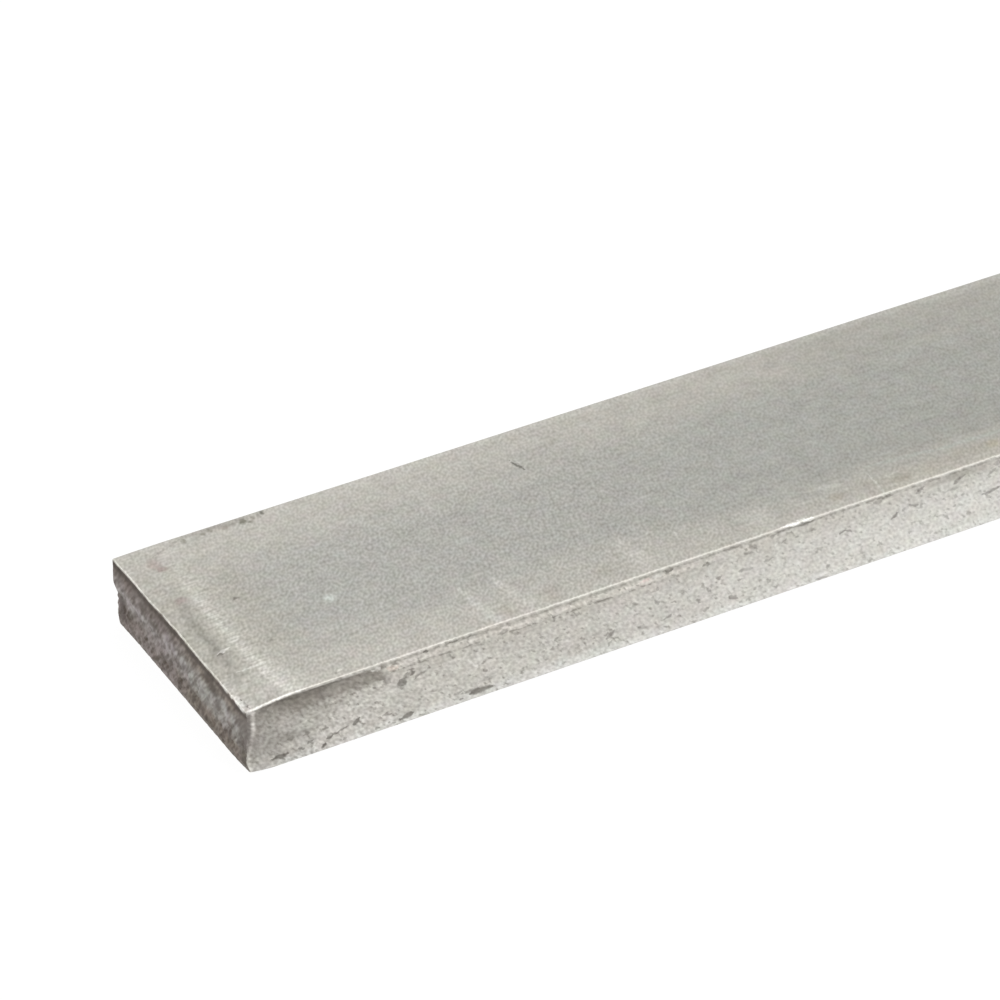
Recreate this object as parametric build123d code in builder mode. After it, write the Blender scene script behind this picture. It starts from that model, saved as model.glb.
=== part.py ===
from build123d import *
import os

# A cut length of mill-finish steel flat bar. It is one rolled piece, so it is one solid.
#
# Frame: X runs along the bar, Y across its width and Z up through its thickness. The origin
# is the centre of the wide face that the bar lies on.
#
# Both ends were cut in a bar shear, one blade against the other, which leaves the same
# marks on every cut. The face that the moving blade drags over rolls down to the cut. Below
# it is a square burnished land, where the blade slid, and below that the metal broke away
# and lies back from the land. The metal is also drawn in at each side, just under the
# rolled face. The far end is the other half of such a cut, so it has the same outline
# turned over: its roll and its land are on the lower face.

# Stock section and cut length, in millimetres
BAR_THICKNESS = 9.525
BAR_WIDTH = 31.75
BAR_LENGTH = 304.8
CORNER_RADIUS = 0.4

# Sheared end, measured from the outermost plane of the cut and from the rolled face
ROLL_LENGTH = 6.2
ROLL_DEPTH = 0.4
NOSE_RADIUS = 0.45
LAND_HEIGHT = 2.8
LAND_EDGE_RADIUS = 1.2
BREAK_HEIGHT = 1.9
BREAK_SETBACK = 0.4
BREAK_RADIUS = 2.5
HEEL_SETBACK = 0.5
HEEL_RADIUS = 0.5

# Hollow that the cut draws into each side, with its middle measured from the outermost
# plane of the cut and from the rolled face
HOLLOW_LENGTH = 18.0
HOLLOW_HEIGHT = 1.9
HOLLOW_DEPTH = 0.3
HOLLOW_MIDDLE = 8.5
HOLLOW_DROP = 1.2

# Heights and places that follow from these sizes
end_plane = -BAR_LENGTH / 2
land_top = BAR_THICKNESS - ROLL_DEPTH
land_foot = land_top - LAND_HEIGHT
break_foot = land_foot - BREAK_HEIGHT


# The hollow is the shape that a long barrel presses into a flat face: the barrel's girth
# gives its height, and the slow curve of the barrel's staves gives its length.
def arc_radius(chord, rise):
    """Radius of the arc that rises by rise over a chord."""
    return ((chord / 2) ** 2 + rise**2) / (2 * rise)


barrel_girth = arc_radius(HOLLOW_HEIGHT, HOLLOW_DEPTH)
stave_radius = arc_radius(HOLLOW_LENGTH, HOLLOW_DEPTH)
barrel_half_length = (stave_radius**2 - (stave_radius - barrel_girth) ** 2) ** 0.5

with BuildPart() as draw_in_barrel:
    with BuildSketch(Plane.XZ) as barrel_half_section:
        with BuildLine():
            ThreePointArc((-barrel_half_length, 0), (0, barrel_girth), (barrel_half_length, 0))
            Line((barrel_half_length, 0), (-barrel_half_length, 0))
        make_face()
    revolve(axis=Axis.X)


# The bar: its side view with both sheared ends, carried across the width, with the rolled
# corners all round each side face and a hollow at each corner of each cut.
middle_of_side = Axis((0, BAR_THICKNESS / 2, 0), (0, 0, 1))

with BuildPart() as flat_bar:
    with BuildSketch(Plane.XZ) as side_view:
        with BuildLine() as half_outline:
            rolled_face = Line((0, BAR_THICKNESS), (end_plane + ROLL_LENGTH, BAR_THICKNESS))
            roll = TangentArc(rolled_face @ 1, (end_plane, land_top), tangent=rolled_face % 1)
            FilletPolyline(
                roll @ 1,
                (end_plane, land_foot),
                (end_plane + BREAK_SETBACK, break_foot),
                (end_plane + HEEL_SETBACK, 0),
                (0, 0),
                radius=[LAND_EDGE_RADIUS, BREAK_RADIUS, HEEL_RADIUS],
            )
            add(half_outline.line.rotate(middle_of_side, 180))
        make_face()
        near_nose = side_view.vertices().group_by(Axis.X)[0].sort_by(Axis.Y)[-1]
        far_nose = side_view.vertices().group_by(Axis.X)[-1].sort_by(Axis.Y)[0]
        fillet([near_nose, far_nose], radius=NOSE_RADIUS)
    extrude(amount=BAR_WIDTH / 2, both=True)
    fillet(flat_bar.faces().filter_by(Axis.Y).edges(), radius=CORNER_RADIUS)

    barrel_x = BAR_LENGTH / 2 - HOLLOW_MIDDLE
    barrel_y = BAR_WIDTH / 2 + barrel_girth - HOLLOW_DEPTH
    with Locations(
        *[(-barrel_x, side * barrel_y, BAR_THICKNESS - HOLLOW_DROP) for side in (-1, 1)],
        *[(barrel_x, side * barrel_y, HOLLOW_DROP) for side in (-1, 1)],
    ):
        add(draw_in_barrel.part, mode=Mode.SUBTRACT)

flat_bar.part.label = "flat_bar"
os.makedirs("parts", exist_ok=True)
export_step(flat_bar.part, "parts/flat_bar.step")
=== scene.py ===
import bpy
import numpy as np
from mathutils import Matrix, Vector


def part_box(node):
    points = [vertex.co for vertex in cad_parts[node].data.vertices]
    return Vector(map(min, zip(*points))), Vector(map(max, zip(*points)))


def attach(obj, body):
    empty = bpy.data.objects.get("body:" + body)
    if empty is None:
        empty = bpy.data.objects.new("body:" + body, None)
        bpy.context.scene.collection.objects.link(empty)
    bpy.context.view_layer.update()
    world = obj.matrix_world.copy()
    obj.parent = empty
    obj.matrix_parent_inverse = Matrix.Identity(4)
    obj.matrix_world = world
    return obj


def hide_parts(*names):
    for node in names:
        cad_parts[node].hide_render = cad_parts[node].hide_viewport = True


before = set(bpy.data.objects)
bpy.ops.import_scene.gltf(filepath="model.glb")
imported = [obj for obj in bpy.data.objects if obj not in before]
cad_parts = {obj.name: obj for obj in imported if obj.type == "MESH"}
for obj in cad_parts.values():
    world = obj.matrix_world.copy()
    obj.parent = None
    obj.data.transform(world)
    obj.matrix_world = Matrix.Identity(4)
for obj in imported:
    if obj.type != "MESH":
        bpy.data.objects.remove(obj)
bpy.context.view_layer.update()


# ------------------------------------------------------------------------------------------
# The flat bar: one piece of steel, rolled to a flat section with slightly rounded corners,
# left with its dull grey mill finish and cut off in a bar shear. It lies on a wide face.
# Sizes in this section are in millimetres, and the mesh is scaled to metres last.

MM = 0.001
lowest, highest = (np.array(corner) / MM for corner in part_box("flat_bar"))
half = (highest - lowest) / 2
width, thickness = 2 * half[1:]

CORNER_RADII = np.array([0.12, 0.4, 0.4])
CORNER_TURNS = np.radians([15, 30, 45])
CELL_ALONG = 0.22
CELL_GROWTH = 1.04
LONGEST_CELL = 3.0
CELL_ACROSS = 0.21
CELL_THROUGH = 0.22


def grid_lines(reach, radius, cell, growth=1.0, longest=1.0):
    """Where grid lines cross one axis, from -reach to reach. Next to the rounded corners the
    cells are `cell` long, and each one further in is `growth` times as long as the last, up
    to `longest`. The outer lines stand where the corner has turned by CORNER_TURNS."""
    core = reach - radius
    cells = np.minimum(cell * growth ** np.arange(int(core / cell) + 1), longest)
    from_corner = np.append(0, np.cumsum(cells))
    from_corner = from_corner[:np.searchsorted(from_corner, core) + 1]
    inner = core * (1 - from_corner[::-1] / from_corner[-1])
    outward = np.append(inner, core + radius * np.tan(CORNER_TURNS))
    return np.append(-outward[:0:-1], outward)


def block_skin(lines):
    """The skin of a sharp block: six grids, each at an end of one axis and spanned by the
    lines of the two others, with their quads turned outwards and the axis that each quad
    faces along. Points that two faces share are made one, which closes the skin."""
    points, quads, facing = [], [], []
    count = 0
    for axis in range(3):
        for end, outward in ((0, -1), (-1, 1)):
            first, second = ((axis + 1) % 3, (axis + 2) % 3)[::outward]
            u, v = np.meshgrid(lines[first], lines[second], indexing="ij")
            face = np.full(u.shape + (3,), lines[axis][end])
            face[..., first] = u
            face[..., second] = v
            number = count + np.arange(u.size).reshape(u.shape)
            corners = [number[:-1, :-1], number[1:, :-1], number[1:, 1:], number[:-1, 1:]]
            points.append(face.reshape(-1, 3))
            quads.append(np.stack(corners, axis=-1).reshape(-1, 4))
            facing.append(np.full(quads[-1].shape[0], axis))
            count += u.size
    points, number = np.unique(np.concatenate(points).round(6), axis=0, return_inverse=True)
    return points, number.reshape(-1)[np.concatenate(quads)], np.concatenate(facing)


def rounded(points):
    """The sharp skin with its corners drawn in to quarters of an ellipse, CORNER_RADII from
    the nearest point of the block's core, and how far each point has turned to each axis."""
    core = np.clip(points, CORNER_RADII - half, half - CORNER_RADII)
    turned = (points - core) / CORNER_RADII
    turned /= np.linalg.norm(turned, axis=1, keepdims=True)
    return core + CORNER_RADII * turned, np.abs(turned)


def smooth(value, start, stop):
    """0 at start and 1 at stop, with a level beginning and end: 3t squared less 2t cubed."""
    t = np.clip((value - start) / (stop - start), 0, 1)
    return t * t * (3 - 2 * t)


def waves(points, pitch, seed, count=48):
    """Random relief with a spread of 1 about 0: the sum of `count` sine waves in random
    directions, with random phases and with lengths between 0.7 and 1.4 of `pitch`, which is
    one length or one for each axis."""
    random = np.random.default_rng(seed)
    direction = random.normal(size=(3, count))
    direction /= np.linalg.norm(direction, axis=0)
    turns = (points / pitch) @ (direction / random.uniform(0.7, 1.4, count))
    phase = random.uniform(0, 1, count)
    return np.sin(2 * np.pi * (turns + phase)).sum(axis=1) * np.sqrt(2 / count)


# The cut end. The blade rolls the upper face down, most of all at the front, then slides and
# leaves a square burnished land, which stands proud at the back. Below it the metal tore off.
# The sides are drawn in under the roll, and the front corner is dragged round. Some values
# ease between two levels, and each pair ending in _EASE holds the two.
ROLL_LENGTH = 6.2
ROLL_DEPTH_FRONT = 0.65
ROLL_DEPTH_BACK = 0.13
BEND_POWER = 1.5
LAND_SETBACK_FRONT = 0.29
LAND_SETBACK_EASE = (0.95, 0.42)
LAND_WANDER = 0.045
LAND_WANDER_PITCH = 7
LAND_FOOT = 3.1
TEAR_TOP = 5.1
TEAR_SETBACK_FRONT = 0.28
TEAR_SETBACK_BACK = 0.44
FOOT_SETBACK_FRONT = 0.71
FOOT_SETBACK_BACK = 0.62
FOOT_SETBACK_EASE = (0.86, 1.0)
FOOT_HEIGHT = 1.6
SETBACK_REACH = 6.0
RELIEF_REACH = 0.8
TEAR_RELIEF = 0.07
TEAR_LUMPS = (2, 2.4, 1.6)
SMALL_LUMPS = (1, 0.8, 0.9)
SMALL_LUMP_SHARE = 0.8
SMOOTH_FOOT = 0.1
ROUGH_FROM_FOOT = 1.2
LAND_RELIEF = 0.005
LAND_SCORES = (1, 0.5, 4)
CORNER_DRAG = 0.2
CORNER_DRAG_WIDTH = 1.1
CORNER_DRAG_TOP_EASE = (0.5, 1.1)
DRAG_SIDEWAYS_SHARE = 0.3
SIDE_REACH = 3
HOLLOW_MIDDLE = 8.5
HOLLOW_HALF_LENGTH = 9.5
HOLLOW_DROP = 1.2
HOLLOW_HALF_HEIGHT = 0.95
HOLLOW_DEPTH = 0.3
FOOT_LIFT = 0.54
FOOT_LIFT_LENGTH = 4.0
FOOT_LIFT_WIDTH = 4.5
NICK_DEPTH = 0.05
NICK_PITCH = 0.9
NICK_EASE = (0.3, 1.8)
BURR_ACROSS_EASE = (0.25, 0.06)
BURR_LENGTH_EASE = (1.2, 0.3)
BURR_DROP_EASE = (0.7, 0.3)
BURR_FLECKS = (1, 0.55, 1)
BURR_FLECK_EASE = (-1.4, 0.6)
BURR_OUT = 0.08
BURR_UP = 0.06


def sheared_end(points, cut_arris, seed):
    """The skin with its end at low x shaped by the cut, high z being the rolled face, and
    two readings: how far below the rolled arris each point lies, and how much burr it
    carries, from 0 to 1.

    The end moves back by the land's setback, which eases off to the back, blended into the
    tear's setback further down. The roll lowers the upper face by a power of the distance
    left to its root, and the foot's front corner lifts by such a power both ways. The hollow
    is an elliptic dish. Relief, wander and burr are random waves."""
    from_cut = points[:, 0] + half[0]
    across = points[:, 1] / width + 0.5
    drop = half[2] - points[:, 2]
    sideways = smooth(np.abs(points[:, 1]), half[1] - SIDE_REACH, half[1])
    sideways *= np.sign(points[:, 1])
    on_end = smooth(from_cut, RELIEF_REACH, 0.0)

    wander = waves(points * (0, 1, 0), LAND_WANDER_PITCH, seed + 5)
    land = LAND_SETBACK_FRONT * smooth(across, *LAND_SETBACK_EASE)
    land += LAND_WANDER * np.maximum(1 + wander, 0)
    tear = TEAR_SETBACK_FRONT + (TEAR_SETBACK_BACK - TEAR_SETBACK_FRONT) * across
    to_back = smooth(across, *FOOT_SETBACK_EASE)
    foot = FOOT_SETBACK_FRONT + (FOOT_SETBACK_BACK - FOOT_SETBACK_FRONT) * to_back
    tear += (foot - tear) * smooth(drop, thickness - FOOT_HEIGHT, thickness)
    torn = smooth(drop, LAND_FOOT, TEAR_TOP)
    setback = (land + (tear - land) * torn) * (1 - smooth(from_cut, 0, SETBACK_REACH))
    drag = smooth(points[:, 1], CORNER_DRAG_WIDTH - half[1], -half[1]) ** 2
    drag *= smooth(drop, *CORNER_DRAG_TOP_EASE) * smooth(drop, TEAR_TOP, LAND_FOOT) * on_end

    lumps = waves(points, TEAR_LUMPS, seed)
    lumps += SMALL_LUMP_SHARE * waves(points, SMALL_LUMPS, seed + 1)
    scores = waves(points, LAND_SCORES, seed + 2)
    relief = TEAR_RELIEF * np.abs(lumps) * torn
    relief *= smooth(drop, thickness - SMOOTH_FOOT, thickness - ROUGH_FROM_FOOT)
    relief += LAND_RELIEF * (2 + scores) * (1 - torn)

    nick = NICK_DEPTH * cut_arris * smooth(waves(points, NICK_PITCH, seed + 3), *NICK_EASE)
    flecks = smooth(waves(points, BURR_FLECKS, seed + 4), *BURR_FLECK_EASE)
    burr = smooth(across, *BURR_ACROSS_EASE) * smooth(from_cut, *BURR_LENGTH_EASE)
    burr *= smooth(drop, *BURR_DROP_EASE) * flecks

    x = points[:, 0] + setback + CORNER_DRAG * drag + (relief + nick) * on_end - BURR_OUT * burr
    from_cut = x + half[0]
    roll_depth = ROLL_DEPTH_FRONT + (ROLL_DEPTH_BACK - ROLL_DEPTH_FRONT) * across
    roll = roll_depth * np.clip(1 - from_cut / ROLL_LENGTH, 0, 1) ** BEND_POWER
    lift = FOOT_LIFT * np.clip(1 - from_cut / FOOT_LIFT_LENGTH, 0, 1) ** BEND_POWER
    lift *= np.clip(1 - across * width / FOOT_LIFT_WIDTH, 0, 1) ** BEND_POWER
    upper = 1 - drop / thickness
    z = points[:, 2] - roll * upper + lift * (1 - upper) ** 2
    z += BURR_UP * burr - nick * upper * on_end

    dish = ((from_cut - HOLLOW_MIDDLE) / HOLLOW_HALF_LENGTH) ** 2
    dish += ((drop - HOLLOW_DROP) / HOLLOW_HALF_HEIGHT) ** 2
    drawn = np.clip(1 - dish, 0, 1)
    pushed_in = HOLLOW_DEPTH * drawn + DRAG_SIDEWAYS_SHARE * CORNER_DRAG * drag
    y = points[:, 1] - pushed_in * sideways
    return np.stack([x, y, z], axis=1), half[2] - roll_depth - z, burr


skin, quads, facing = block_skin([
    grid_lines(half[0], CORNER_RADII[0], CELL_ALONG, CELL_GROWTH, LONGEST_CELL),
    grid_lines(half[1], CORNER_RADII[1], CELL_ACROSS),
    grid_lines(half[2], CORNER_RADII[2], CELL_THROUGH),
])
skin, turned = rounded(skin)
long_arris = 2 * turned[:, 1] * turned[:, 2]
cut_arris = 2 * turned[:, 0] * turned[:, 2]
at_near_end = skin[:, 0] < 0

# The rolls leave the faces a little uneven
MILL_WAVE = 0.012
MILL_WAVE_PITCH = (26, 14, 14)
WAVE_LIMIT = 2.2
uneven = WAVE_LIMIT + np.clip(waves(skin, MILL_WAVE_PITCH, seed=5), -WAVE_LIMIT, WAVE_LIMIT)
uneven = MILL_WAVE * uneven / 2
skin[:, 1] -= uneven * skin[:, 1] / half[1]
skin[:, 2] -= uneven * np.clip(skin[:, 2] / half[2], 0, 1)

# The far end is the other half of such a cut, so it is the same shape turned over. The near
# end's seed is one that was searched for, out of 5999, for the line that it gives the arris.
turned_over = np.array([-1, 1, -1])
skin, near_below, near_burr = sheared_end(skin, cut_arris, seed=299)
skin, far_below, far_burr = sheared_end(skin * turned_over, cut_arris, seed=31)
skin = skin * turned_over

bar_mesh = bpy.data.meshes.new("flat_bar_steel")
bar_mesh.from_pydata((skin + (lowest + highest) / 2) * MM, [], quads)
for name, values in (
    ("below_roll", np.where(at_near_end, near_below, far_below)),
    ("long_arris", long_arris),
    ("cut_arris", cut_arris),
    ("burr", np.maximum(near_burr, far_burr)),
):
    bar_mesh.attributes.new(name, "FLOAT", "POINT").data.foreach_set("value", values)
bar_mesh.polygons.foreach_set("use_smooth", np.ones(len(quads), bool))


def paint(red, green, blue):
    """A colour as it looks on a screen, each part from 0 to 255, as linear light."""
    share = np.array([red, green, blue]) / 255
    light = np.where(share < 0.04045, share / 12.92, ((share + 0.055) / 1.055) ** 2.4)
    return (*light.tolist(), 1.0)


class Reading:
    """A value that varies over the surface. Sums of it with others and with plain numbers
    add Math nodes."""

    def __init__(self, shading, socket):
        self.shading = shading
        self.socket = socket

    def math(self, operation, first, second=0.0):
        return self.shading.node("ShaderNodeMath", {"operation": operation}, {0: first, 1: second})

    def __add__(self, other):
        return self.math("ADD", self, other)

    def __sub__(self, other):
        return self.math("SUBTRACT", self, other)

    def __mul__(self, other):
        return self.math("MULTIPLY", self, other)

    def __radd__(self, other):
        return self.math("ADD", other, self)

    def __rsub__(self, other):
        return self.math("SUBTRACT", other, self)

    def __rmul__(self, other):
        return self.math("MULTIPLY", other, self)

    def __abs__(self):
        return self.math("ABSOLUTE", self)

    def at_least(self, other):
        return self.math("MAXIMUM", self, other)


class Shading:
    """The nodes of one material or of the room."""

    def __init__(self, owner):
        owner.use_nodes = True
        self.tree = owner.node_tree
        self.tree.nodes.clear()

    def node(self, kind, settings, sockets, output=0):
        """Adds a node, applies its settings, fills its sockets with values or readings, and
        returns one of its outputs."""
        added = self.tree.nodes.new(kind)
        for name, value in settings.items():
            setattr(added, name, value)
        for name, value in sockets.items():
            if isinstance(value, Reading):
                self.tree.links.new(value.socket, added.inputs[name])
            else:
                added.inputs[name].default_value = value
        return Reading(self, added.outputs[output]) if added.outputs else None


FRAY = 0.7
FRAY_PITCH = 1 / 1.7
SPOT_THROUGH = 2


class Finish(Shading):
    """The material of one kind of surface, with readings taken in millimetres: `place` is the
    point itself, and `run`, `across` and `up` are its distance from the near cut, from the
    middle of the bar and from its lower face. `ragged` is the point strayed by up to half of
    FRAY each way, which frays the outline of the marks laid out by it."""

    def __init__(self, name):
        self.material = bpy.data.materials.new(name)
        super().__init__(self.material)
        metres = self.node("ShaderNodeTexCoord", {}, {}, "Object")
        self.place = self.vector("SCALE", metres, Scale=1 / MM)
        x, self.across, self.up = (
            self.node("ShaderNodeSeparateXYZ", {}, {"Vector": self.place}, axis) for axis in "XYZ"
        )
        self.run = x + half[0]
        stray = self.vector("SUBTRACT", self.hues(FRAY_PITCH), (0.5, 0.5, 0.5))
        self.ragged = self.vector("MULTIPLY_ADD", stray, (FRAY,) * 3, self.place)

    def vector(self, operation, *values, output=0, **named):
        """A Vector Math node on places, directions or colours."""
        sockets = {**dict(enumerate(values)), **named}
        return self.node("ShaderNodeVectorMath", {"operation": operation}, sockets, output)

    def mask(self, name):
        """A value that the mesh carries at each point."""
        return self.node("ShaderNodeAttribute", {"attribute_name": name}, {}, "Fac")

    def lumps(self, x, y, z, shift, detail=0.0, place=None):
        """Soft random lumps about x by y by z long, from 0 to 1 and mostly near 0.5. Each
        shift gives other lumps."""
        place = place or self.place
        scaled = self.vector("MULTIPLY_ADD", place, (1 / x, 1 / y, 1 / z), (shift,) * 3)
        sockets = {"Vector": scaled, "Scale": 1.0, "Detail": detail}
        return self.node("ShaderNodeTexNoise", {}, sockets, "Fac")

    def leaning(self, along=0.0, across=0.0):
        """The place pushed along and across the bar, so that lumps laid out by it lean."""
        push = self.node("ShaderNodeCombineXYZ", {}, {"X": along, "Y": across})
        return self.vector("ADD", self.place, push)

    def hues(self, pitch):
        """Lumps of random colour about `pitch` long, each part mostly near 0.5."""
        sockets = {"Vector": self.place, "Scale": 1 / pitch}
        return self.node("ShaderNodeTexNoise", {}, sockets, "Color")

    def rise(self, value, start, stop):
        """0 up to start and 1 from stop on, easing in between."""
        settings = {"interpolation_type": "SMOOTHSTEP"}
        sockets = {"Value": value, "From Min": start, "From Max": stop}
        return self.node("ShaderNodeMapRange", settings, sockets)

    def hill(self, value, middle, reach):
        """1 at middle, easing down to 0 at `reach` on both sides of it."""
        return self.rise(abs(value - middle), reach, 0.0)

    def blend(self, colour, other, share):
        """A share of the other colour laid over the first one."""
        sockets = {0: share, 6: colour, 7: other}
        return self.node("ShaderNodeMix", {"data_type": "RGBA"}, sockets, 2)

    def shade(self, colour, change, weights, tint):
        """The colour with each part changed by the share `change` times its weight, and then
        by up to half of `tint` either way in lumps of random colour two millimetres long."""
        share = self.vector("SCALE", weights, Scale=change)
        share = self.vector("ADD", share, (1, 1, 1))
        hue = self.vector("MULTIPLY_ADD", self.hues(1.9), (tint,) * 3, (1 - tint / 2,) * 3)
        return self.vector("MULTIPLY", self.vector("MULTIPLY", colour, share), hue)

    def spot(self, centre, size):
        """1 about the centre of a ragged ellipsoid and 0 outside it."""
        offset = self.vector("SUBTRACT", self.ragged, centre)
        away = self.vector("LENGTH", self.vector("DIVIDE", offset, size), output="Value")
        return self.rise(away, 1.0, 0.2)

    def stroke(self, start, end, reach):
        """1 along the straight line from start to end and 0 at `reach` to its sides, a reach
        that narrows to a fifth at both ends."""
        line = Vector(end) - Vector(start)
        offset = self.vector("SUBTRACT", self.ragged, start)
        along = self.vector("DOT_PRODUCT", offset, line / line.length_squared, output="Value")
        along = self.node("ShaderNodeClamp", {}, {"Value": along})
        nearest = self.vector("SCALE", line, Scale=along)
        away = self.vector("DISTANCE", offset, nearest, output="Value")
        reach = reach * (0.2 + 3.2 * along * (1 - along))
        return self.rise(away, reach, 0.25 * reach)

    def steel(self, colour, metallic, roughness, relief):
        """Finishes the material with its shader. The relief is a height in millimetres."""
        normal = self.node("ShaderNodeBump", {}, {"Distance": MM, "Height": relief})
        sockets = {"Base Color": colour, "Metallic": metallic, "Roughness": roughness, "Normal": normal}
        shader = self.node("ShaderNodeBsdfPrincipled", {}, sockets)
        self.node("ShaderNodeOutputMaterial", {}, {"Surface": shader})
        return self.material


def on_top(run, across):
    """A point of the upper face, from its distance to the near cut and to the middle."""
    depth = ROLL_DEPTH_FRONT + (ROLL_DEPTH_BACK - ROLL_DEPTH_FRONT) * (across / width + 0.5)
    return run - half[0], across, thickness - depth * max(1 - run / ROLL_LENGTH, 0) ** BEND_POWER


def on_front(run, up):
    """A point of the front side, from its distance to the near cut and to the floor."""
    return run - half[0], -half[1], up


def on_cut(across, up):
    """A point of the near cut, from its distance to the bar's middle and to the floor."""
    return -half[0], across, up


# Steel at the arrises, from long worn to freshly bared; the brightest is also a painted highlight and glint
WORN_ARRIS = paint(194, 192, 185)
BARE_ARRIS = paint(227, 225, 217)
BRIGHT_STEEL_AND_GLINT = paint(240, 239, 233)


def long_edges(finish, colour, worn, front=1.0):
    """The colour with the long arrises laid over it where `worn` is 1: most rubbed 21 and 40 mm
    from the near cut, and bared with a painted highlight over its first 10 mm where `front` is 1."""
    rubbed = finish.hill(finish.run, 21, 5) + finish.hill(finish.run, 40, 7)
    colour = finish.blend(colour, WORN_ARRIS, worn * (0.4 + 0.4 * rubbed))
    bright = 0.7 * finish.rise(finish.run, 10.0, 3.5) * finish.rise(finish.run, -0.5, 2.0)
    return finish.blend(colour, BRIGHT_STEEL_AND_GLINT, bright * front * worn)


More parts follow.
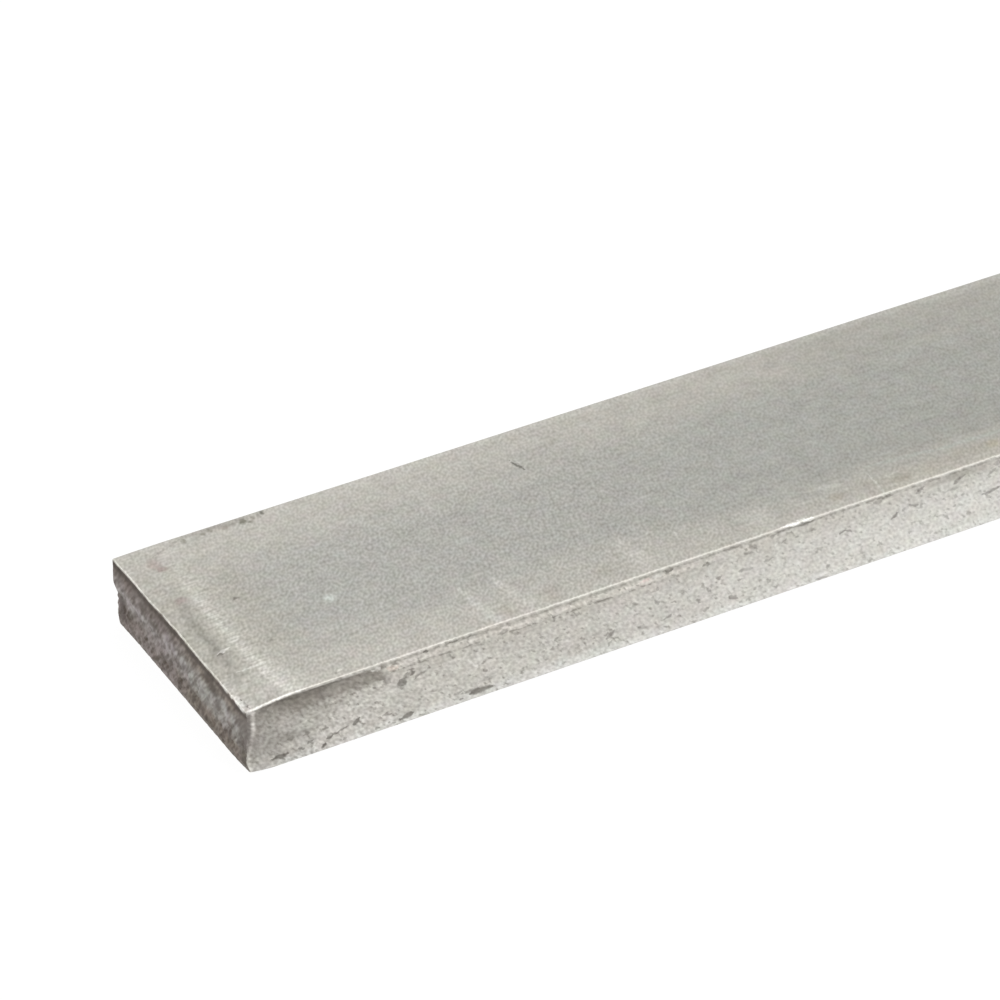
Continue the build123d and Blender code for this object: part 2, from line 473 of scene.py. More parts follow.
def mill_face():
    """The two wide faces: satin grey with an even fine grain, lighter and warmer towards both
    edges, with a soft painted highlight and a band of painted shade on the roll that the shear leaves by
    its cut."""
    face = Finish("mill_face")
    leaning = face.leaning(along=-0.3 * face.across)
    grain = face.lumps(0.34, 0.47, 0.5, shift=3.1, place=leaning)
    cloud = face.lumps(16, 7, 7, shift=9.7, detail=1.0)
    mottle = face.lumps(2.6, 2.0, 2.0, shift=5.3, detail=1.0)
    drag = face.lumps(7, 0.4, 2, shift=7.7)
    colour = face.blend(paint(183, 180, 171), paint(180, 179, 173), face.rise(face.run, 7, 16))
    colour = face.blend(colour, paint(180, 180, 174), face.rise(face.run, 50, 75))
    to_edge = face.rise(abs(face.across + 0.7) + 5 * (cloud - 0.5), 4.0, 14.5)
    colour = face.blend(colour, paint(194, 191, 183), to_edge)
    lane = face.hill(face.across, -8.5, 5.0) * face.rise(face.run, 40, 90)
    colour = face.blend(colour, paint(166, 167, 161), 0.4 * lane)
    lane = face.rise(face.across, 7, 10) * face.rise(face.run, 82, 92)
    colour = face.blend(colour, paint(166, 167, 161), 0.25 * lane)
    rim = 0.1 + 0.35 * face.rise(face.run, 20, 36) + 0.15 * face.rise(face.run, 78, 88)
    colour = face.blend(colour, paint(208, 206, 199), rim * face.rise(face.across, 14.0, 15.3))
    rim = 0.25 * face.rise(face.run, 60, 70) + 0.2 * face.rise(face.run, 78, 86)
    colour = face.blend(colour, paint(210, 208, 200), rim * face.rise(face.across, -14.0, -15.0))
    warm = face.rise(face.across, -11.8, -13.4) * face.rise(face.run, 78, 84)
    colour = face.blend(colour, paint(190, 182, 168), 0.25 * warm)

    # A band of painted shade on the roll and a painted highlight at its root, drawn out in fine lengthwise
    # dashes
    dashes = face.lumps(1.5, 0.3, 1, shift=2.2)
    broken = 0.25 + 1.5 * dashes
    roll_shade = face.hill(face.run, 2.45, 0.95) * face.rise(abs(face.across + 2.2), 9.0, 2.5)
    colour = face.blend(colour, paint(150, 147, 138), 0.65 * roll_shade * broken)
    past = face.run - 4.6 - 0.0055 * face.across * face.across
    roll_highlight = 0.55 * face.rise(past, -1.3, 0.1) * face.rise(past, 3.6, 0.2)
    roll_highlight = roll_highlight + 0.45 * face.hill(past, 0.2, 1.1)
    strength = 0.45 - 0.32 * face.rise(face.across, 1.0, 11.0)
    strength = strength + 0.14 * face.rise(face.across, -6.0, -10.0)
    colour = face.blend(colour, paint(228, 226, 218), roll_highlight * strength * broken)

    # Scores and streaks, each from start to end, and stains and specks, each about a centre
    for start, end, reach, tone, share in (
        ((48.05, 10.6), (48.85, 7.7), 0.27, (112, 110, 102), 0.75),
        ((48.6, 10.6), (48.85, 9.3), 0.22, (212, 211, 203), 0.55),
        ((47.7, 9.9), (48.0, 8.9), 0.25, (210, 209, 198), 0.5),
        ((48.35, 8.9), (48.75, 8.3), 0.3, (120, 117, 110), 0.4),
        ((30.9, -7.8), (32.2, -17.5), 0.95, (210, 210, 203), 0.5),
        ((35.2, -8.2), (36.9, -17.5), 1.3, (211, 209, 201), 0.45),
        ((51.1, -8.5), (51.9, -18.0), 1.8, (210, 207, 199), 0.4),
        ((82.6, -11.8), (82.3, -16.6), 0.3, (214, 212, 205), 0.7),
        ((81.2, -12.6), (81.0, -16.2), 0.6, (164, 160, 150), 0.35),
        ((74.3, -11.1), (79.2, -11.9), 0.5, (206, 206, 198), 0.5),
        ((83.0, -10.4), (92.0, -11.3), 0.6, (194, 199, 191), 0.5),
        ((91.0, -11.5), (103.0, -11.9), 0.6, (194, 199, 191), 0.5),
        ((83.3, -13.3), (86.5, -12.8), 0.3, (208, 206, 198), 0.5),
        ((94.0, -13.4), (97.2, -14.7), 0.3, (204, 200, 190), 0.3),
        ((2.4, -9.4), (6.2, -9.6), 0.3, (224, 223, 216), 0.6),
        ((2.0, -5.5), (4.1, -5.2), 0.3, (222, 220, 213), 0.8),
        ((2.0, -5.8), (3.0, -5.6), 0.2, (128, 124, 116), 0.7),
        ((0.8, -13.4), (1.0, -15.6), 0.25, (110, 106, 98), 0.8),
        ((3.8, 13.6), (8.2, 15.1), 0.35, (158, 155, 147), 0.5),
    ):
        stroke = face.stroke(on_top(*start), on_top(*end), reach)
        colour = face.blend(colour, paint(*tone), share * stroke)
    for centre, size, tone, share in (
        ((3.5, 12.4), (1.2, 1.6), (170, 148, 145), 0.45),
        ((3.8, 11.1), (0.9, 0.8), (158, 134, 131), 0.5),
        ((3.1, 5.0), (1.1, 0.9), (158, 140, 137), 0.5),
        ((3.1, 3.8), (0.8, 1.0), (146, 143, 135), 0.45),
        ((8.6, 2.3), (0.6, 0.5), (118, 115, 106), 0.75),
        ((8.5, -6.4), (0.5, 0.4), (138, 135, 126), 0.6),
        ((17.7, -2.7), (1.1, 1.0), (216, 219, 213), 0.65),
        ((8.4, 14.6), (0.35, 0.8), (142, 138, 124), 0.6),
        ((9.8, 14.5), (0.5, 0.5), (146, 143, 136), 0.4),
        ((10.9, 14.7), (0.5, 0.5), (132, 128, 114), 0.6),
        ((11.8, 15.0), (0.6, 0.6), (140, 136, 122), 0.6),
        ((13.6, 14.7), (0.9, 0.6), (150, 140, 130), 0.5),
        ((14.6, 14.8), (0.6, 0.6), (138, 130, 124), 0.5),
        ((15.9, 14.8), (0.7, 0.8), (118, 115, 100), 0.8),
        ((16.6, 14.3), (0.6, 0.4), (126, 122, 110), 0.6),
        ((17.2, 14.8), (0.5, 0.5), (128, 124, 112), 0.6),
        ((18.0, 14.9), (0.4, 0.6), (140, 132, 126), 0.5),
        ((18.6, 15.2), (0.4, 0.8), (110, 106, 98), 0.8),
        ((12.6, 15.3), (6.5, 0.7), (146, 142, 134), 0.4),
        ((33.6, -14.2), (1.1, 2.4), (180, 172, 160), 0.4),
        ((39.7, -13.8), (2.4, 2.4), (176, 171, 160), 0.4),
        ((47.0, -13.2), (2.4, 2.0), (172, 169, 158), 0.35),
        ((53.6, -7.8), (0.4, 1.0), (210, 210, 204), 0.45),
        ((54.7, -9.3), (0.5, 0.5), (210, 210, 204), 0.5),
        ((57.3, -11.0), (0.5, 0.5), (212, 211, 204), 0.5),
        ((58.6, -11.1), (0.6, 0.4), (212, 211, 204), 0.5),
        ((67.0, -12.9), (3.4, 3.2), (208, 207, 199), 0.4),
        ((77.3, -13.7), (1.8, 1.0), (172, 164, 151), 0.5),
        ((85.5, -14.2), (2.1, 1.1), (174, 167, 154), 0.5),
        ((98.5, -13.5), (1.4, 1.0), (196, 188, 164), 0.4),
        ((12.4, -14.7), (0.4, 0.35), (228, 225, 217), 0.8),
        ((11.9, -15.0), (0.35, 0.3), (140, 136, 128), 0.6),
    ):
        colour = face.blend(colour, paint(*tone), share * face.spot(on_top(*centre), (*size, SPOT_THROUGH)))

    # The two long arrises: worn in places, bared with a painted highlight at the front by the cut, and a
    # painted glint where the arris is flattened
    worn = face.rise(face.mask("long_arris"), 0.35, 1.0)
    colour = long_edges(face, colour, worn, face.rise(face.across, 0.0, -10.0))
    flat_spot_glint = face.stroke(on_top(68.4, -15.75), on_top(72.9, -15.75), 0.42)
    colour = face.blend(colour, BRIGHT_STEEL_AND_GLINT, 1.2 * flat_spot_glint)
    bare = face.rise(face.mask("cut_arris"), 0.25, 0.65) * face.lumps(1, 1.6, 1, shift=1.9)
    colour = face.blend(colour, BARE_ARRIS, 1.3 * bare)
    colour = face.blend(colour, BRIGHT_STEEL_AND_GLINT, 0.6 * face.mask("burr"))
    change = 0.65 - 0.2 * face.rise(face.run, 40, 90)
    change = change * (1 - 0.16 * face.rise(face.across, 4, 12)) * (grain - 0.5)
    change = change + 0.2 * (mottle - 0.5) + 0.05 * (drag - 0.5)
    change = change + 0.22 * face.rise(face.run, 9, 5) * (dashes - 0.5)
    # Darker away from the near cut: painted shade of the light falling off along the bar
    change = change - 0.14 * face.rise(face.run, 10, 115)
    roughness = 0.48 + 0.1 * (grain - 0.5)
    relief = 0.005 * grain + 0.02 * cloud
    return face.steel(face.shade(colour, change, (0.98, 1, 1.06), tint=0.08), 0.9, roughness, relief)


def rolled_side():
    """The two narrow sides: lighter and coarser, speckled with small dark pits and scars, pale
    along the lower edge, darker by the cut, and with painted shade where the cut has drawn them in."""
    side = Finish("rolled_side")
    leaning = side.leaning(along=0.38 * side.up)
    grain = side.lumps(0.44, 0.46, 0.46, shift=4.4, detail=0.6, place=leaning)
    blotches = side.lumps(1.5, 1.6, 1.1, shift=7.9, detail=1.0, place=leaning)
    patches = side.lumps(6, 6, 3, shift=2.6)
    flakes = side.lumps(0.44, 0.5, 0.5, shift=1.3, detail=0.8, place=side.leaning(along=0.6 * side.up))
    dashes = side.lumps(1.5, 0.6, 0.4, shift=5.6, detail=1.0)
    far = side.rise(side.run, 12, 85)
    colour = side.blend(paint(204, 201, 194), paint(219, 217, 211), side.rise(side.run, 30, 95))
    colour = side.blend(colour, paint(193, 189, 180), side.rise(side.up, 5.2, 8.4) * (0.75 - 0.3 * far))
    colour = side.blend(colour, paint(223, 222, 217), side.rise(side.up, 1.7, 0.4) * 0.8)
    foot = side.rise(side.up, 2.2, 1.0) * side.hill(side.run, 40, 14)
    colour = side.blend(colour, paint(222, 223, 219), 0.4 * foot)

    # The rolls leave a pale line between two dark ones, broken by pits, below the upper edge
    clear = side.rise(side.run, 16.5, 18.5)
    pale = side.hill(side.up, 8.4, 0.6) * clear * (0.3 + 0.7 * dashes)
    pale = pale * (1 - 0.65 * side.rise(side.run, 50, 68))
    colour = side.blend(colour, paint(226, 221, 213), pale)
    colour = side.blend(colour, paint(166, 162, 153), side.hill(side.up, 9.05, 0.3) * clear * 0.25)
    smear = side.hill(side.run, 92, 7) * side.hill(side.up, 8.6, 0.9)
    colour = side.blend(colour, paint(160, 156, 147), 0.6 * smear)

    # Darker in blotches by the cut, and painted shade in the hollow under the rolled edge
    darker_by_cut = side.rise(side.run + 3 * (blotches - 0.5), 11, -2) * (0.75 + 0.8 * (blotches - 0.5))
    darker_by_cut = darker_by_cut * (0.35 + 0.65 * side.rise(side.up, 0.8, 4.2)) + 0.12 * side.rise(side.run, 20, 6)
    colour = side.blend(colour, paint(142, 137, 130), darker_by_cut)
    colour = side.blend(colour, paint(150, 146, 139), 0.5 * side.spot(on_front(6.0, 3.5), (4.5, 2, 1.5)))
    colour = side.blend(colour, paint(158, 154, 147), 0.4 * side.spot(on_front(9.5, 6.2), (6, 2, 1.6)))
    deep = side.rise(side.run, 12.5, 9.0)
    mouth = side.rise(side.run, 5.0, 3.2)
    edge = side.up - 0.5 * mouth - 0.25 * (1 - deep) + 1.1 * (flakes - 0.5) + 0.9 * (blotches - 0.5)
    hollow_shade = side.rise(edge, 6.3, 7.3) * side.rise(side.run, 1.3, 2.4)
    hollow_shade = hollow_shade * side.rise(side.run + 2 * (blotches - 0.5), 18.4, 16.6)
    lip = side.rise(side.up, 8.85, 9.3) * side.rise(side.run, 1.0, 8.0)
    hollow_shade = hollow_shade * (1 - 0.25 * mouth) * (1 - 0.6 * lip)
    colour = side.blend(colour, paint(151, 146, 138), hollow_shade * 0.95)
    colour = side.blend(colour, paint(120, 115, 107), hollow_shade * deep * side.rise(side.up, 7.4, 8.5) * 0.8)

    # The corner by the cut, which the blade dragged round: painted shade where it turns away, and then a
    # painted highlight along its ridge
    dragged = side.rise(side.up, 3.8, 6.0)
    colour = side.blend(colour, paint(128, 123, 118), 0.9 * dragged * side.rise(side.run, 1.1, 0.75))
    corner_turn_shade = side.hill(side.up, 4.3, 2.0) * side.rise(side.run, 0.8, 0.4)
    colour = side.blend(colour, paint(140, 136, 130), 0.9 * corner_turn_shade)
    corner_highlight = side.hill(side.run - 0.55 * dragged, 0.65, 0.42) * side.rise(side.up, 9.0, 8.4)
    corner_highlight = corner_highlight * (1 - 0.85 * side.hill(side.up, 4.7, 1.7)) * (0.3 + 1.2 * blotches)
    colour = side.blend(colour, paint(216, 213, 206), 0.85 * corner_highlight)

    # Pits, all over and in the two broken lines
    pits = side.rise(flakes, 0.52, 0.78) * side.rise(blotches, 0.36, 0.6)
    lines = 1.1 * side.hill(side.up, 7.87, 0.32) * side.rise(side.run, 60, 48)
    lines = lines + 0.8 * side.hill(side.up, 9.08, 0.28)
    lines = lines * clear * side.rise(0.5 * dashes + 0.5 * flakes, 0.44, 0.57)
    dark = ((0.7 - 0.25 * far) * pits).at_least(0.6 * lines)
    colour = side.blend(colour, paint(130, 126, 118), dark)

    # Dark scars from start to end, and pale ones
    for start, end, reach, share in (
        ((3.2, 1.3), (5.6, 1.4), 0.5, 0.9),
        ((6.5, 1.55), (7.4, 1.4), 0.38, 0.6),
        ((7.7, 1.9), (8.4, 2.1), 0.38, 0.65),
        ((5.3, 3.4), (6.3, 3.3), 0.55, 0.5),
        ((7.3, 3.1), (8.1, 3.4), 0.45, 0.6),
        ((2.9, 6.0), (3.5, 5.8), 0.5, 0.4),
        ((9.4, 0.5), (10.2, 1.1), 0.38, 0.9),
        ((10.1, 1.65), (11.0, 1.9), 0.42, 0.8),
        ((9.6, 3.3), (10.4, 3.0), 0.42, 0.6),
        ((11.3, 1.9), (12.8, 2.4), 0.3, 0.65),
        ((13.4, 2.25), (14.3, 3.1), 0.5, 0.85),
        ((13.7, 4.9), (14.3, 4.8), 0.34, 0.4),
        ((12.2, 0.7), (12.6, 0.9), 0.3, 0.5),
        ((16.0, 0.6), (16.8, 0.7), 0.36, 0.6),
        ((17.2, 2.25), (18.3, 2.05), 0.34, 0.55),
        ((18.3, 0.7), (18.9, 0.6), 0.3, 0.5),
        ((19.2, 0.75), (21.0, 1.3), 0.52, 0.8),
        ((17.2, 6.9), (18.2, 6.4), 0.6, 0.4),
        ((19.2, 6.3), (20.0, 5.4), 1.0, 0.72),
        ((20.0, 6.4), (20.9, 6.9), 0.5, 0.5),
        ((19.8, 6.2), (20.2, 7.1), 0.35, 0.6),
        ((20.6, 6.4), (21.1, 7.0), 0.34, 0.6),
        ((20.9, 5.75), (22.8, 6.6), 0.26, 0.5),
        ((22.2, 9.1), (23.0, 8.95), 0.36, 0.85),
        ((25.2, 9.1), (26.6, 9.1), 0.24, 0.6),
        ((27.7, 9.15), (28.3, 9.15), 0.24, 0.5),
        ((26.7, 0.75), (27.4, 0.75), 0.32, 0.7),
        ((27.4, 1.45), (29.4, 1.3), 0.44, 0.5),
        ((28.0, 1.12), (31.1, 1.1), 0.62, 0.78),
        ((26.1, 1.7), (27.3, 1.85), 0.3, 0.35),
        ((24.6, 5.3), (26.3, 4.2), 0.8, 0.2),
        ((29.6, 2.3), (31.4, 2.3), 0.6, 0.25),
        ((29.8, 3.85), (30.4, 3.3), 0.3, 0.55),
        ((31.8, 8.2), (33.0, 8.2), 0.36, 0.45),
        ((38.5, 8.1), (39.0, 7.2), 0.36, 0.55),
        ((38.8, 4.3), (39.4, 4.9), 0.34, 0.45),
        ((41.6, 7.0), (42.1, 7.2), 0.35, 0.35),
        ((45.7, 2.2), (46.8, 3.2), 0.45, 0.5),
        ((45.9, 1.1), (46.4, 1.8), 0.36, 0.4),
        ((43.8, 3.4), (45.1, 3.4), 0.5, 0.25),
        ((48.9, 6.0), (49.7, 5.6), 0.36, 0.45),
        ((49.7, 2.3), (51.0, 1.95), 0.4, 0.35),
        ((52.1, 7.1), (52.3, 6.5), 0.34, 0.4),
        ((53.1, 8.95), (54.2, 8.75), 0.38, 0.7),
        ((51.8, 5.4), (52.5, 4.6), 0.34, 0.4),
        ((53.1, 2.2), (54.3, 2.6), 0.32, 0.45),
        ((57.2, 3.7), (58.0, 2.8), 0.36, 0.5),
        ((58.6, 4.6), (59.4, 3.8), 0.36, 0.5),
        ((59.2, 4.5), (59.5, 4.9), 0.3, 0.35),
        ((58.0, 7.9), (58.5, 8.2), 0.34, 0.55),
        ((58.5, 8.2), (59.0, 7.8), 0.34, 0.5),
        ((58.3, 1.5), (59.2, 1.75), 0.36, 0.45),
        ((60.0, 5.4), (60.6, 5.6), 0.34, 0.45),
        ((61.6, 2.4), (63.0, 1.6), 0.45, 0.6),
        ((61.2, 9.05), (62.8, 9.05), 0.3, 0.4),
        ((62.8, 5.5), (64.9, 5.2), 0.42, 0.35),
        ((63.9, 8.8), (65.3, 7.9), 0.55, 0.45),
        ((66.8, 8.9), (67.7, 8.75), 0.4, 0.45),
        ((63.4, 7.9), (64.9, 7.3), 0.36, 0.42),
        ((65.0, 2.1), (65.4, 2.4), 0.34, 0.4),
        ((66.2, 5.6), (67.6, 5.7), 0.32, 0.4),
        ((66.7, 3.0), (67.3, 2.3), 0.36, 0.45),
        ((68.4, 7.3), (69.2, 7.8), 0.3, 0.45),
        ((70.2, 7.6), (70.9, 7.6), 0.3, 0.45),
        ((71.9, 7.8), (73.4, 7.8), 0.28, 0.35),
        ((67.5, 9.1), (74.2, 9.1), 0.26, 0.4),
        ((70.9, 9.0), (72.4, 9.0), 0.36, 0.45),
        ((74.7, 1.8), (75.3, 1.8), 0.34, 0.45),
        ((73.4, 0.4), (75.2, 0.45), 0.35, 0.4),
        ((76.3, 6.0), (77.2, 6.25), 0.34, 0.6),
        ((77.1, 6.25), (78.0, 5.6), 0.3, 0.55),
        ((79.2, 2.4), (79.9, 1.9), 0.34, 0.4),
        ((80.6, 8.6), (81.9, 8.6), 0.45, 0.4),
        ((81.0, 9.0), (83.6, 9.0), 0.36, 0.55),
        ((83.4, 5.5), (84.4, 6.2), 0.36, 0.6),
        ((84.8, 6.2), (85.3, 6.4), 0.32, 0.4),
        ((85.7, 6.65), (87.0, 6.15), 0.32, 0.5),
        ((86.5, 7.9), (87.6, 8.6), 0.36, 0.45),
        ((91.7, 7.5), (93.3, 8.4), 0.5, 0.5),
        ((90.6, 6.8), (92.5, 6.8), 0.3, 0.3),
        ((92.9, 5.6), (93.4, 5.4), 0.34, 0.4),
        ((91.8, 4.3), (92.3, 4.5), 0.34, 0.35),
        ((90.3, 5.8), (90.7, 5.9), 0.32, 0.35),
        ((90.4, 3.7), (91.6, 2.6), 0.36, 0.4),
        ((95.8, 4.55), (98.4, 4.85), 0.36, 0.58),
        ((96.1, 4.6), (97.3, 3.5), 0.3, 0.4),
        ((96.5, 7.1), (97.5, 7.8), 0.34, 0.4),
        ((97.2, 8.5), (98.4, 8.3), 0.5, 0.4),
    ):
        stroke = side.stroke(on_front(*start), on_front(*end), reach)
        colour = side.blend(colour, paint(112, 108, 101), share * stroke)
    for start, end, reach, tone, share in (
        ((3.4, 7.4), (3.9, 8.1), 0.24, (206, 203, 196), 0.7),
        ((3.9, 8.1), (4.4, 7.3), 0.24, (206, 203, 196), 0.65),
        ((2.9, 8.2), (3.3, 8.0), 0.24, (200, 197, 190), 0.5),
        ((3.9, 5.2), (4.8, 4.9), 0.3, (200, 197, 190), 0.4),
        ((12.8, 3.6), (13.6, 3.0), 0.3, (226, 224, 217), 0.6),
        ((15.7, 8.9), (17.1, 8.75), 0.4, (216, 213, 207), 0.85),
        ((17.6, 8.5), (19.2, 8.2), 0.6, (204, 186, 176), 0.5),
        ((27.4, 6.35), (29.6, 3.95), 0.24, (222, 220, 214), 0.5),
        ((50.0, 8.6), (51.3, 8.6), 0.45, (226, 208, 202), 0.6),
        ((51.3, 8.7), (52.7, 8.6), 0.4, (222, 219, 213), 0.7),
        ((58.6, 7.6), (59.5, 6.1), 0.3, (226, 224, 218), 0.5),
        ((60.1, 6.5), (60.8, 7.3), 0.3, (222, 219, 213), 0.5),
        ((67.6, 7.3), (68.2, 7.8), 0.3, (228, 226, 220), 0.5),
    ):
        stroke = side.stroke(on_front(*start), on_front(*end), reach)
        colour = side.blend(colour, paint(*tone), share * stroke)

    # The upper arris, a worn line above the hollow, a painted glint where the arris is flattened, and the
    # burr
    worn = side.rise(side.mask("long_arris"), 0.4, 1.0) * side.rise(side.up, 4, 8)
    colour = long_edges(side, colour, worn)
    above = side.hill(side.up, 9.22, 0.26) * side.rise(side.run, 5.5, 8.0)
    above = above * side.rise(side.run, 17.5, 15.5)
    colour = side.blend(colour, WORN_ARRIS, 0.6 * above)
    flat_spot_glint = side.stroke(on_front(68.4, 9.42), on_front(72.8, 9.4), 0.32)
    colour = side.blend(colour, BRIGHT_STEEL_AND_GLINT, 1.2 * flat_spot_glint)
    colour = side.blend(colour, BRIGHT_STEEL_AND_GLINT, 0.5 * side.mask("burr"))
    near = side.rise(side.run, 22, 8)
    change = (0.85 + 0.2 * near) * (grain - 0.5) + (0.35 + 0.45 * near) * (blotches - 0.5)
    change = (1 - 0.3 * far) * change + 0.16 * (patches - 0.5)
    roughness = 0.55 + 0.2 * (flakes - 0.5)
    relief = 0.012 * grain + 0.03 * blotches - 0.04 * dark
    return side.steel(side.shade(colour, change, (0.96, 1, 1.03), tint=0.06), 0.8, roughness, relief)


def cut_end():
    """The two cut ends: a dark line of burnish and painted shade under the arris, the smooth brown
    land that the blade slid over, then the torn metal, blue-grey where it is bare, which turns
    brown at its foot."""
    cut = Finish("cut_end")
    below = cut.mask("below_roll")
    leaning = cut.leaning(across=0.7 * cut.up)
    grain = cut.lumps(0.45, 0.45, 1.0, shift=6.2, detail=0.6, place=leaning)
    fibres = cut.lumps(1.0, 1.0, 1.9, shift=8.8, detail=1.0, place=leaning)
    patches = cut.lumps(3, 3.2, 2.2, shift=0.7, detail=1.0)
    level = below + 1.4 * (patches - 0.5) + 1.0 * (fibres - 0.5)
    bare = cut.rise(level, 1.3, 3.4) * cut.rise(level, 6.8, 4.6)
    deep = cut.blend(paint(88, 77, 67), paint(104, 96, 89), bare)
    light = cut.blend(paint(140, 130, 120), paint(170, 167, 162), bare)
    mauve = cut.rise(cut.across + 8 * (patches - 0.5), -3.0, 4.0) * cut.rise(below, 0.6, 2.0)
    light = cut.blend(light, paint(156, 145, 146), mauve * 0.55)
    rough = cut.rise(0.64 * fibres + 0.36 * grain + 0.3 * (patches - 0.5), 0.3, 0.7)
    colour = cut.blend(deep, light, rough)
    colour = cut.blend(colour, paint(74, 66, 58), 0.7 * cut.spot(on_cut(14.5, 2.8), (2.5, 1.5, 2.8)))
    colour = cut.blend(colour, paint(172, 170, 165), 0.4 * cut.spot(on_cut(-6.0, 4.6), (2.5, 4.5, 2.2)))
    colour = cut.blend(colour, paint(174, 172, 167), 0.45 * cut.spot(on_cut(-10.3, 6.2), (2.5, 1.7, 1.4)))
    colour = cut.blend(colour, paint(152, 140, 128), 0.4 * cut.spot(on_cut(-6.8, 2.6), (2.5, 2.6, 1.4)))
    colour = cut.blend(colour, paint(172, 162, 160), 0.45 * cut.spot(on_cut(12.3, 4.8), (2.5, 1.5, 1.5)))
    smeared = cut.rise(cut.across, 0.0, 4.0) * cut.rise(below, 2.6, 1.7)
    colour = cut.blend(colour, paint(94, 84, 77), 0.5 * smeared)
    corner = cut.rise(cut.across + 1.5 * (fibres - 0.5), -13.0, -14.6)
    colour = cut.blend(colour, paint(104, 97, 90), 0.65 * corner * cut.rise(below, 0.5, 1.5))
    # Painted mid-tone shading where the front corner rounds over towards the side
    edge = cut.rise(cut.across, -14.7, -15.3) * cut.rise(cut.up, 3.5, 5.0)
    colour = cut.blend(colour, paint(130, 125, 119), 0.7 * edge)
    # A dark line under the arris: the burnish's own dark colour, deepened by painted shade under the
    # overhanging arris
    colour = cut.blend(colour, paint(66, 55, 47), cut.hill(below, 0.65, 0.75) * 0.8)
    arris = cut.rise(cut.mask("cut_arris"), 0.4, 0.9) * cut.rise(below, 1.0, 0.4)
    colour = cut.blend(colour, BARE_ARRIS, 1.3 * arris * cut.lumps(1, 1.6, 1, shift=1.9))
    colour = cut.blend(colour, BRIGHT_STEEL_AND_GLINT, 0.75 * cut.mask("burr") * cut.rise(below, 0.5, 0.1))
    roughness = 0.6 + 0.2 * (fibres - 0.5)
    relief = 0.02 * grain + 0.08 * fibres
    change = 0.6 * (grain - 0.5)
    return cut.steel(cut.shade(colour, change, (0.92, 1, 1.02), tint=0.12), 0.6, roughness, relief)


# Each quad takes the finish of the axis that it faces along
for finish in (cut_end, rolled_side, mill_face):
    bar_mesh.materials.append(finish())
bar_mesh.polygons.foreach_set("material_index", facing)
flat_bar = bpy.data.objects.new("flat_bar_steel", bar_mesh)
bpy.context.scene.collection.objects.link(flat_bar)
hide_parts("flat_bar")
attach(flat_bar, "root")


# ------------------------------------------------------------------------------------------
# The floor that the bar lies on: a plain white studio sweep, matt, and seen by the camera
# and in the steel mostly by its own glow, so that it stays white and the shadow stays pale.

FLOOR_REACH = 3.0
FLOOR_COLOUR = (0.8, 0.8, 0.8, 1)
FLOOR_GLOW = 1.1
GLOW_SHARE = 0.84

floor_mesh = bpy.data.meshes.new("studio_floor")
floor_corners = [(x * FLOOR_REACH, y * FLOOR_REACH, 0) for x, y in ((-1, -1), (1, -1), (1, 1), (-1, 1))]
floor_mesh.from_pydata(floor_corners, [], [(0, 1, 2, 3)])
floor = bpy.data.objects.new("studio_floor", floor_mesh)
bpy.context.scene.collection.objects.link(floor)


def seen(shading):
    """1 where a surface is looked at by the camera, or in a mirror or glass, and else 0."""
    camera, glossy, transmission = (
        shading.node("ShaderNodeLightPath", {}, {}, f"Is {kind} Ray")
        for kind in ("Camera", "Glossy", "Transmission")
    )
    return camera.at_least(glossy).at_least(transmission)


floor_white = bpy.data.materials.new("studio_white")
sweep = Shading(floor_white)
matt = sweep.node("ShaderNodeBsdfDiffuse", {}, {"Color": FLOOR_COLOUR})
glow = sweep.node("ShaderNodeEmission", {}, {"Strength": FLOOR_GLOW})
both = sweep.node("ShaderNodeMixShader", {}, {0: GLOW_SHARE * seen(sweep), 1: matt, 2: glow})
sweep.node("ShaderNodeOutputMaterial", {}, {"Surface": both})
floor_mesh.materials.append(floor_white)


# ------------------------------------------------------------------------------------------
# The light: an even white room, a soft key lamp over the front right, which catches the
# upper front arris, and a weaker lamp low at the back left, which catches the cut's arris.

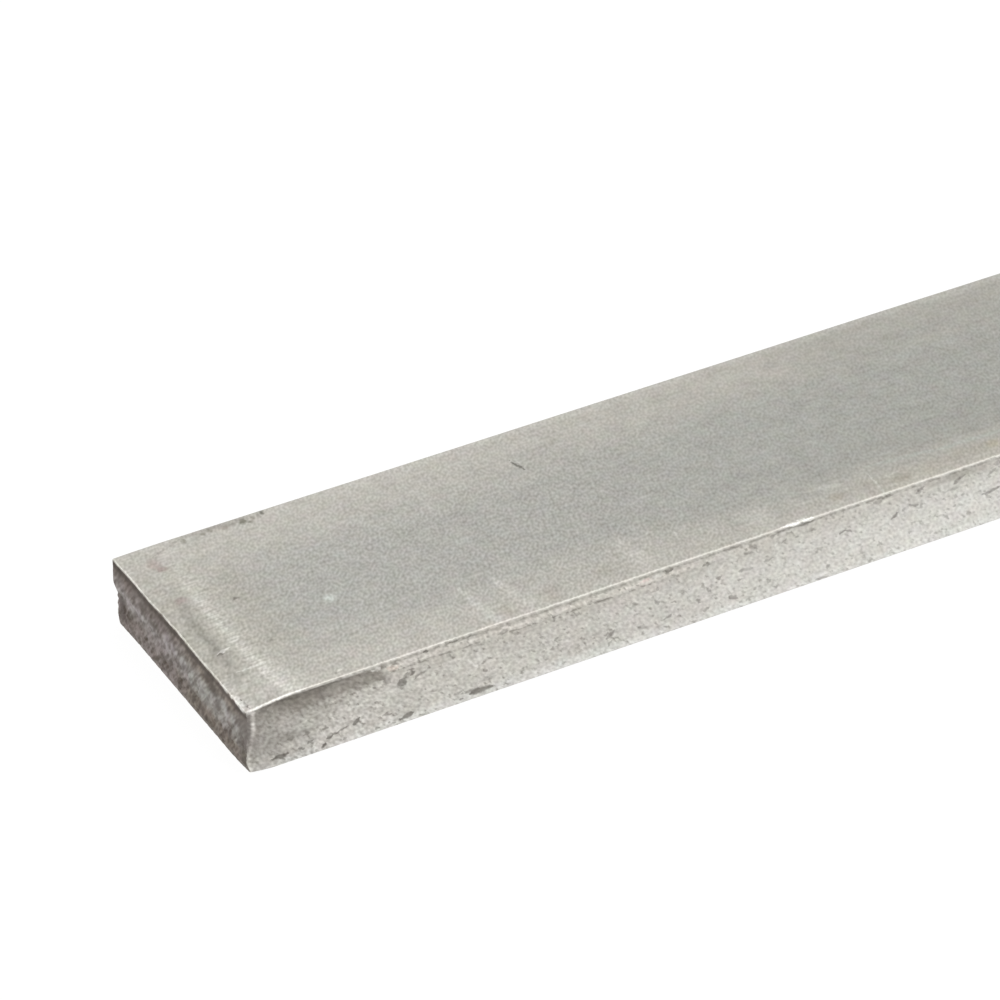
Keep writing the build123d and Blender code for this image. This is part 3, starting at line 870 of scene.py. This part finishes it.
ROOM_LIGHT = 0.75
WHITE = (1, 1, 1, 1)
LAMP_DISTANCE = 1.5
KEY_LAMP = {"direction": (0.417, -0.591, 0.691), "size": 0.9, "power": 6.0}
BACK_LAMP = {"direction": (-0.591, 0.691, 0.417), "size": 0.6, "power": 2.5}

room = bpy.data.worlds.new("white_room")
bpy.context.scene.world = room
walls = Shading(room)
dim = walls.node("ShaderNodeBackground", {}, {"Color": WHITE, "Strength": ROOM_LIGHT})
white = walls.node("ShaderNodeBackground", {}, {"Color": WHITE})
both = walls.node("ShaderNodeMixShader", {}, {0: seen(walls), 1: dim, 2: white})
walls.node("ShaderNodeOutputWorld", {}, {"Surface": both})

# The lamps, like the camera, are aimed at this point of the upper face
CAMERA_AIM = Vector((-0.10906, 0.00423, 0.009525))
for name, lamp in (("key_lamp", KEY_LAMP), ("back_lamp", BACK_LAMP)):
    data = bpy.data.lights.new(name, "AREA")
    data.size = lamp["size"]
    data.energy = lamp["power"]
    direction = Vector(lamp["direction"]).normalized()
    softbox = bpy.data.objects.new(name, data)
    softbox.matrix_world = Matrix.Translation(CAMERA_AIM + LAMP_DISTANCE * direction) @ (
        direction.to_track_quat("Z", "Y").to_matrix().to_4x4()
    )
    bpy.context.scene.collection.objects.link(softbox)


# ------------------------------------------------------------------------------------------
# The camera: a long lens, 36 degrees above the floor, that looks along the bar from its near
# cut end, aimed at the upper face 43 mm from that end and tilted by 0.6 degrees.

LENS = 202.38
DISTANCE = 0.63764
AZIMUTH = np.radians(-30.053)
ELEVATION = np.radians(35.826)
TILT = np.radians(0.620)

back = Vector((
    np.sin(AZIMUTH) * np.cos(ELEVATION),
    -np.cos(AZIMUTH) * np.cos(ELEVATION),
    np.sin(ELEVATION),
))
right = Vector((0, 0, 1)).cross(back).normalized()
up = back.cross(right)
tilted = Matrix((right, up, back)).transposed().to_4x4() @ Matrix.Rotation(TILT, 4, "Z")
camera_data = bpy.data.cameras.new("camera")
camera_data.lens = LENS
camera = bpy.data.objects.new("camera", camera_data)
camera.matrix_world = Matrix.Translation(CAMERA_AIM + DISTANCE * back) @ tilted
bpy.context.scene.collection.objects.link(camera)
bpy.context.scene.camera = camera
bpy.context.scene.view_settings.view_transform = "Standard"
